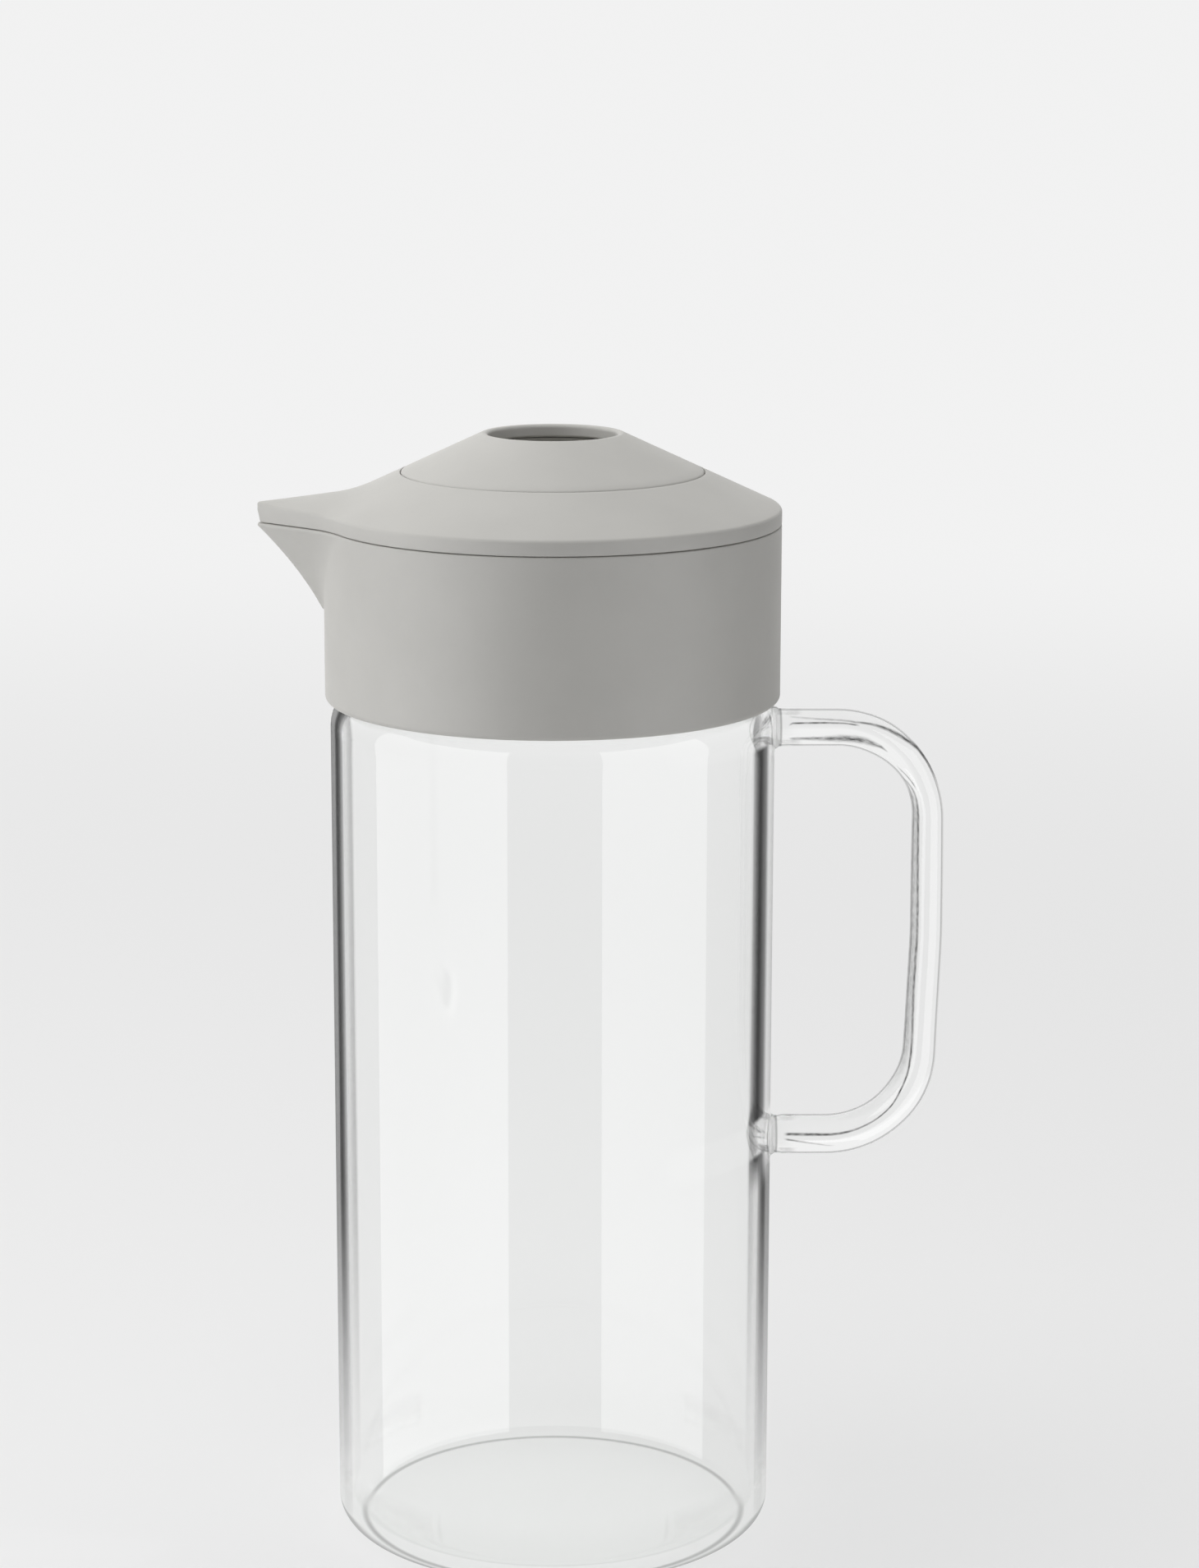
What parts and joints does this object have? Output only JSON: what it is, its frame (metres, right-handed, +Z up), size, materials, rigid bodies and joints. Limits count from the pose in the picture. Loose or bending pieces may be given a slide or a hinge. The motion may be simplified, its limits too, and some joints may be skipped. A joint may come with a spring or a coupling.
{
  "type": "serving jug",
  "caption": "Tall glass serving jug with a rod handle and a matte plastic pouring lid: beak spout, conical cover and a lift-off centre cap with a finger hole.",
  "frame": {"origin": "on the jar's axis, on the flat face of its base", "axes": "+Z up along the jar's axis, +X towards the handle, so the beak spout points to -X"},
  "size_m": [0.1664, 0.11, 0.2726],
  "materials": {
    "clear_glass": "clear, polished borosilicate glass",
    "lid_plastic": "matte, warm light grey, fine even texture",
    "seal_silicone": "satin translucent silicone"
  },
  "bodies": {
    "jug": {"glass_jar": "clear_glass", "glass_handle": "clear_glass"},
    "lid": {"collar": "lid_plastic", "strainer_deck": "lid_plastic", "jar_seal": "seal_silicone"},
    "cover_part": {"cover": "lid_plastic", "throat": "lid_plastic", "throat_seal": "seal_silicone"},
    "cap_part": {"cap": "lid_plastic", "cap_well": "lid_plastic", "cap_seal": "seal_silicone"}
  },
  "joints": [
    {"name": "lid_lift", "type": "slide", "parent": "jug", "child": "lid", "axis": [0, 0, 1], "range_m": [0, 0.06]},
    {"name": "cover_lift", "type": "slide", "parent": "lid", "child": "cover_part", "axis": [0, 0, 1], "range_m": [0, 0.04]},
    {"name": "cap_lift", "type": "slide", "parent": "cover_part", "child": "cap_part", "axis": [0, 0, 1], "range_m": [0, 0.04]}
  ]
}
